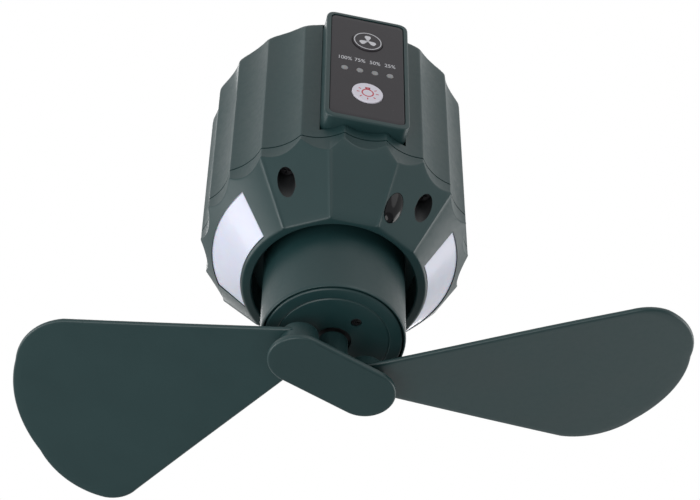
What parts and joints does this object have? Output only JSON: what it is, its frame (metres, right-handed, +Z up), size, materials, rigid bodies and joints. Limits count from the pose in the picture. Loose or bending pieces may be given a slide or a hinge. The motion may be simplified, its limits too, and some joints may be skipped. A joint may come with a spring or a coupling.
{
  "type": "portable hanging fan",
  "caption": "Portable battery fan that hangs by a loop, with a folding two-blade rotor, side lamp windows and a front control panel.",
  "frame": {"origin": "centre of the flat top face, on the fan axis", "axes": "+Z up along the fan axis, away from the rotor; -Y out of the control panel; +X to the panel's right seen from outside"},
  "size_m": [0.2591, 0.1566, 0.1698],
  "materials": {
    "shell": "fine matt dark grey-green moulded plastic",
    "gloss_dark": "glossy near-black",
    "diffuser": "milky white diffuser",
    "white_key": "white key",
    "steel": "bright steel",
    "screw": "black zinc",
    "board": "green circuit board",
    "chip": "lamp chips",
    "switch": "black plastic",
    "cell_wrap": "plastic sleeve"
  },
  "bodies": {
    "base": {"body_shell": "shell", "top_cover": "shell", "bail_lugs": "shell", "lower_cover": "shell", "led_window_left": "diffuser", "led_window_right": "diffuser", "led_board_left": "board", "led_board_right": "board", "led_chips_left": "chip", "led_chips_right": "chip", "cover_screws": "screw", "ir_dome": "gloss_dark", "pod_housing": "shell", "pod_end_cap": "shell", "motor_screws": "screw", "motor": "steel", "motor_board": "board", "panel_frame": "shell", "panel_lens": "gloss_dark", "fan_button_switch": "switch", "lamp_button_switch": "switch", "battery_dots": "diffuser", "panel_board": "board", "battery_cells": "cell_wrap", "cell_holder": "switch", "main_board": "board", "charge_port": "steel", "charge_board": "board"},
    "bail": {"bail": "steel"},
    "fan_button": {"fan_button": "gloss_dark"},
    "lamp_button": {"lamp_button": "white_key"},
    "rotor": {"rotor_hub": "shell", "motor_shaft": "steel", "pivot_screws": "screw"},
    "blade_left": {"blade_left": "shell"},
    "blade_right": {"blade_right": "shell"}
  },
  "joints": [
    {"name": "rotor_spin", "type": "hinge", "parent": "base", "child": "rotor", "pos_m": [0, 0, -0.16], "axis": [0, 0, 1], "continuous": true},
    {"name": "blade_left_fold", "type": "hinge", "parent": "rotor", "child": "blade_left", "pos_m": [-0.01424, -0.00561, -0.16], "axis": [0, 0, 1], "range_deg": [-8.9, 132.1]},
    {"name": "blade_right_fold", "type": "hinge", "parent": "rotor", "child": "blade_right", "pos_m": [0.01424, 0.00561, -0.16], "axis": [0, 0, 1], "range_deg": [-40.1, 100.9]},
    {"name": "bail_swing", "type": "hinge", "parent": "base", "child": "bail", "pos_m": [0, 0, -0.0031], "axis": [0, -1, 0], "range_deg": [0, 180]},
    {"name": "fan_button_press", "type": "slide", "parent": "base", "child": "fan_button", "axis": [0, 1, 0], "range_m": [0, 0.0005], "stiffness_N_per_m": 400},
    {"name": "lamp_button_press", "type": "slide", "parent": "base", "child": "lamp_button", "axis": [0, 1, 0], "range_m": [0, 0.0005], "stiffness_N_per_m": 400}
  ]
}
